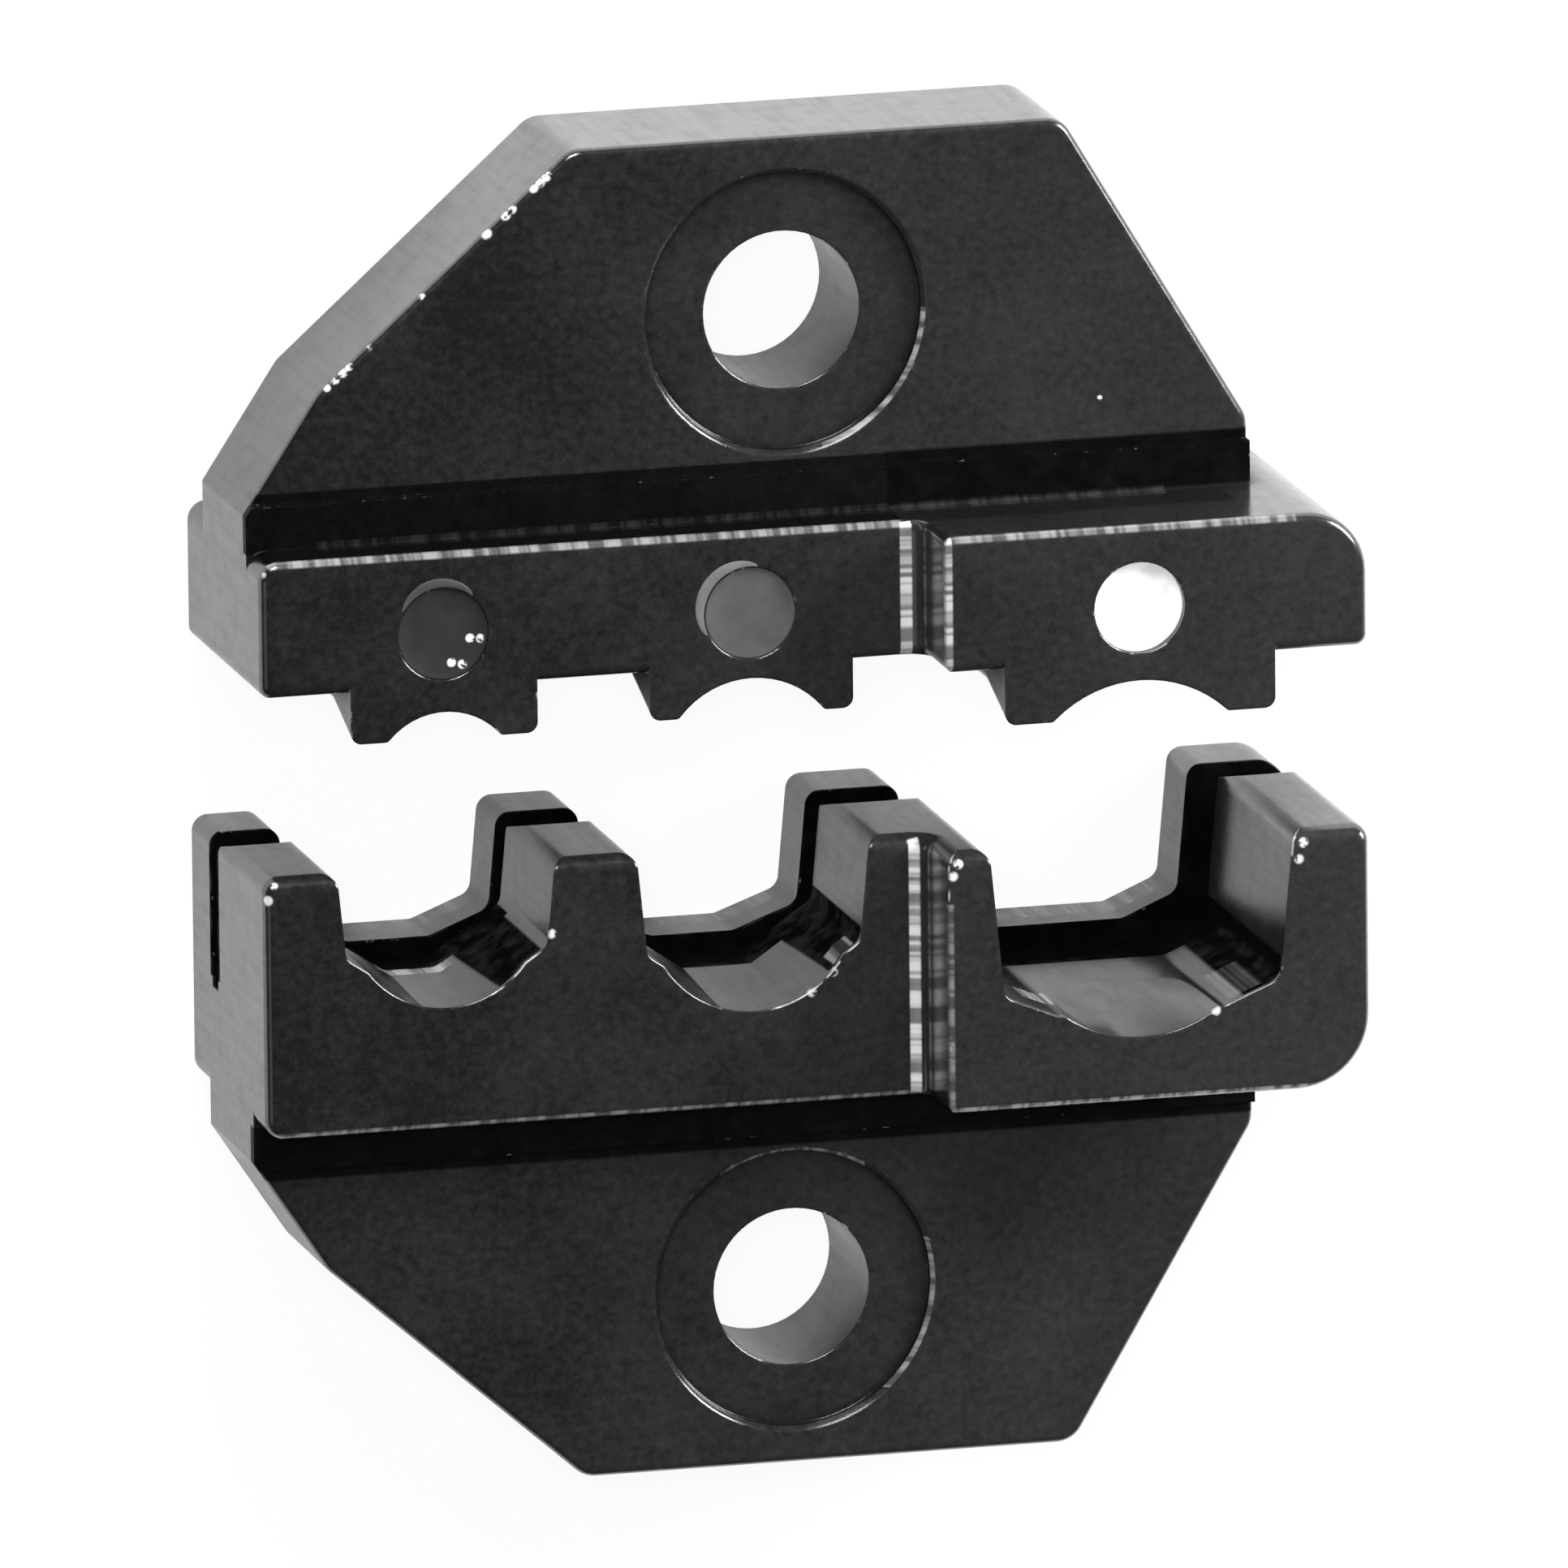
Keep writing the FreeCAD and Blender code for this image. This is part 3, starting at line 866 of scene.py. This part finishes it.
# Rubbed corner of the upper block, painted bright as wear and highlight
UPPER_RUBBED_AND_HIGHLIT = (Zone((-17.4, -16.8), (8.2, 9.2), (8.9, 9.4), 1.0, 0.2),)
# Nicks on the upper die, which also paint glints along the tail's slanted edge and on corners
UPPER_NICKS_AND_GLINTS = (
    (-7.55, 20.35, 7.24, 0.17),
    (-7.75, 20.18, 7.24, 0.17),
    (-7.95, 20.0, 7.24, 0.15),
    (-8.65, 19.38, 7.24, 0.15),
    (-8.85, 19.2, 7.24, 0.16),
    (-9.47, 18.66, 7.24, 0.17),
    (-11.56, 16.82, 7.24, 0.12),
    (-13.25, 15.33, 7.24, 0.12),
    (-13.9, 14.75, 7.24, 0.14),
    (-14.1, 14.58, 7.24, 0.16),
    (-14.35, 14.36, 7.24, 0.15),
    (-14.6, 14.13, 7.24, 0.13),
    (10.06, 12.17, 7.3, 0.08),
    (-17.25, 8.84, 9.28, 0.15),
    (-17.17, 9.29, 9.28, 0.15),
)
# Painted glints on the small dot's enamel near its wall
SMALL_DOT_GLINTS = (
    (-10.62, 6.35, 9.16),
    (-10.30, 6.33, 9.18),
    (-10.88, 5.55, 9.18),
    (-11.22, 5.62, 9.17),
)


@dataclass(frozen=True)
class Die:
    """One machined die body."""

    node: str
    body: Body
    finish: BlackOxide

    def dress(self, nodes: dict[str, bpy.types.Object]) -> bpy.types.Object:
        """Give the CAD body its finish.

        Args:
            nodes: the CAD nodes by name.

        Returns:
            The dressed node.
        """
        piece = nodes[self.node]
        piece.data.materials.clear()
        piece.data.materials.append(self.finish.material(self.node))
        return piece


@dataclass(frozen=True)
class Card:
    """One soft light: a rectangle that faces the dies.

    Attributes:
        name: the light's name.
        direction: from the dies to the light.
        distance: how far it hangs, in metres, and so for width and height.
        power: in watts.
        mirrored: whether it shows in reflections, and doesn't only light the dies.
    """

    name: str
    direction: tuple[float, float, float]
    distance: float
    width: float
    height: float
    power: float
    mirrored: bool = True

    def place(self, target: Vector) -> bpy.types.Object:
        """Hang the light.

        Args:
            target: the point that it faces.

        Returns:
            The light.
        """
        lamp = bpy.data.lights.new(self.name, "AREA")
        lamp.shape = "RECTANGLE"
        lamp.size = self.width
        lamp.size_y = self.height
        lamp.energy = self.power
        light = bpy.data.objects.new(self.name, lamp)
        bpy.context.scene.collection.objects.link(light)
        light.visible_glossy = self.mirrored
        towards = Vector(self.direction).normalized()
        light.location = target + towards * self.distance
        light.rotation_euler = towards.to_track_quat("Z", "Y").to_euler()
        light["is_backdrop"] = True
        return light


@dataclass(frozen=True)
class Studio:
    """White floor, white backdrop and soft cards.

    Attributes:
        floor_half: half the floor's side, in metres.
        floor_points: grid points along each side.
        floor_tone: the floor's tone to everything but the camera.
        glow: share of the floor's white that the camera sees as its own light, so that shadows
            on it stay faint.
        sky: strength of the world to everything but the camera.
        cards: the soft lights.
    """

    floor_half: float = 2.0
    floor_points: int = 3
    floor_tone: float = 0.85
    glow: float = 0.92
    sky: float = 0.06
    cards: tuple[Card, ...] = (
        Card("front", (-0.26, 0.24, 0.935), 0.7, width=0.16, height=0.16, power=3.6, mirrored=False),
        Card("key_right", (0.81, 0.42, 0.41), 0.6, width=0.26, height=0.20, power=4.8),
        Card("edge_left", (-0.69, -0.23, 0.68), 0.6, width=0.16, height=0.30, power=0.06),
        Card("fill_top", (-0.15, 0.80, 0.58), 0.6, width=0.25, height=0.20, power=2.3),
    )

    def floor(self) -> bpy.types.Object:
        """Lay the floor under the dies.

        Returns:
            The floor.
        """
        across = np.linspace(-self.floor_half, self.floor_half, self.floor_points)
        x, y = np.meshgrid(across, across)
        piece = grid_mesh("floor", np.stack([x, y, np.zeros_like(x)], axis=-1), wrap=False, weld=False)
        material, graph = new_material("floor")
        camera = graph.output("ShaderNodeLightPath", {}, {}, "Is Camera Ray")
        colour = graph.tone(self.floor_tone, 1.0 - self.glow, camera)
        lit = graph.output("ShaderNodeBsdfDiffuse", {}, {"Color": colour}, "BSDF")
        light = {"Color": WHITE_LIGHT, "Strength": camera * self.glow}
        glowing = graph.output("ShaderNodeEmission", {}, light, "Emission")
        both = graph.output("ShaderNodeAddShader", {}, {0: lit, 1: glowing}, "Shader")
        graph.finish("ShaderNodeOutputMaterial", both)
        piece.data.materials.append(material)
        piece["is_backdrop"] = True
        return piece

    def world(self) -> None:
        """Make the world white to the camera and a dim even sky to everything else."""
        world = bpy.data.worlds.new("studio")
        bpy.context.scene.world = world
        world.use_nodes = True
        graph = Graph(world.node_tree)
        camera = graph.output("ShaderNodeLightPath", {}, {}, "Is Camera Ray")
        strength = self.sky + camera * (1.0 - self.sky)
        back = graph.output("ShaderNodeBackground", {}, {"Strength": strength}, "Background")
        graph.finish("ShaderNodeOutputWorld", back)

    def build(self, target: Vector) -> None:
        """Set up floor, world and cards.

        Args:
            target: the point that the cards face.
        """
        self.floor()
        self.world()
        for card in self.cards:
            card.place(target)


@dataclass(frozen=True)
class PhotoCamera:
    """Long lens at the photograph's viewing angle, for a square picture.

    Attributes:
        turn: angle in radians by which it looks from the left.
        tip: angle in radians by which it looks from the upper die's side.
        roll: turn of the camera about its view, in radians.
        distance: from the camera to the target.
        target: the point in the middle of the picture.
        width_seen: width of the picture at the target.
        sensor: width of the sensor in millimetres, as Blender counts it.
    """

    turn: float = math.radians(14.55)
    tip: float = math.radians(13.18)
    roll: float = math.radians(0.6)
    distance: float = 1380 * MM
    target: tuple[float, float, float] = (0.53 * MM, -0.07 * MM, 4.59 * MM)
    width_seen: float = 48.69 * MM
    sensor: float = 36.0

    def place(self) -> bpy.types.Object:
        """Set the camera up and make it the scene's own.

        Returns:
            The camera.
        """
        sin_turn, cos_turn = math.sin(self.turn), math.cos(self.turn)
        sin_tip, cos_tip = math.sin(self.tip), math.cos(self.tip)
        right = Vector((cos_turn, 0.0, sin_turn))
        up = Vector((sin_turn * sin_tip, cos_tip, -cos_turn * sin_tip))
        view = Vector((sin_turn * cos_tip, -sin_tip, -cos_turn * cos_tip))
        rolled_right = right * math.cos(self.roll) - up * math.sin(self.roll)
        rolled_up = right * math.sin(self.roll) + up * math.cos(self.roll)
        data = bpy.data.cameras.new("photo_camera")
        data.sensor_fit = "HORIZONTAL"
        data.sensor_width = self.sensor
        data.lens = self.sensor * self.distance / self.width_seen
        camera = bpy.data.objects.new("photo_camera", data)
        bpy.context.scene.collection.objects.link(camera)
        axes = Matrix((rolled_right, rolled_up, -view)).transposed().to_4x4()
        camera.matrix_world = Matrix.Translation(Vector(self.target) - view * self.distance) @ axes
        bpy.context.scene.camera = camera
        return camera


def main() -> None:
    """Build every piece in order and log it."""
    logging.basicConfig(level=logging.INFO, format="%(name)s: %(message)s")
    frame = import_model()
    bpy.context.scene.view_settings.view_transform = "Standard"
    lower_finish = BlackOxide(LOWER_PAINTED_SHADE, LOWER_WEAR_AND_HIGHLIGHTS, LOWER_RUBBED_AND_HIGHLIT, LOWER_NICKS_AND_GLINTS)
    upper_finish = BlackOxide(UPPER_PAINTED_SHADE, UPPER_WEAR_AND_HIGHLIGHTS, UPPER_RUBBED_AND_HIGHLIT, UPPER_NICKS_AND_GLINTS)
    dies = (
        Die("lower_die", Body.LOWER, lower_finish),
        Die("upper_die", Body.UPPER, upper_finish),
    )
    for die in dies:
        piece = die.dress(frame["nodes"])
        faces = len(piece.data.polygons)
        LOG.info("dressed %s on body %s with %d faces", piece.name, die.body.value, faces)
    # painted highlights beside the small and medium dots' rims, in lighter enamel
    small_rim_highlight = RimHighlight(DotTone.SMALL_RIM_HIGHLIGHT, math.radians(50), math.radians(150), width=0.30 * MM)
    medium_rim_highlight = RimHighlight(DotTone.LIGHT, math.radians(80), math.radians(205), width=0.36 * MM)
    dots = (
        EnamelDot("enamel_dot_small", DotTone.DARK, 0.74 * MM, small_rim_highlight, SMALL_DOT_GLINTS),
        EnamelDot("enamel_dot_medium", DotTone.MID, 0.72 * MM, medium_rim_highlight),
        EnamelDot("enamel_dot_large", DotTone.WHITE, 0.55 * MM),
    )
    for dot in dots:
        for piece in dot.build():
            LOG.info("made %s with %d faces", piece.name, len(piece.data.polygons))
    low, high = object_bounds()
    Studio().build((low + high) / 2)
    PhotoCamera().place()
    LOG.info("studio and camera are in place")


if __name__ == "__main__":
    main()
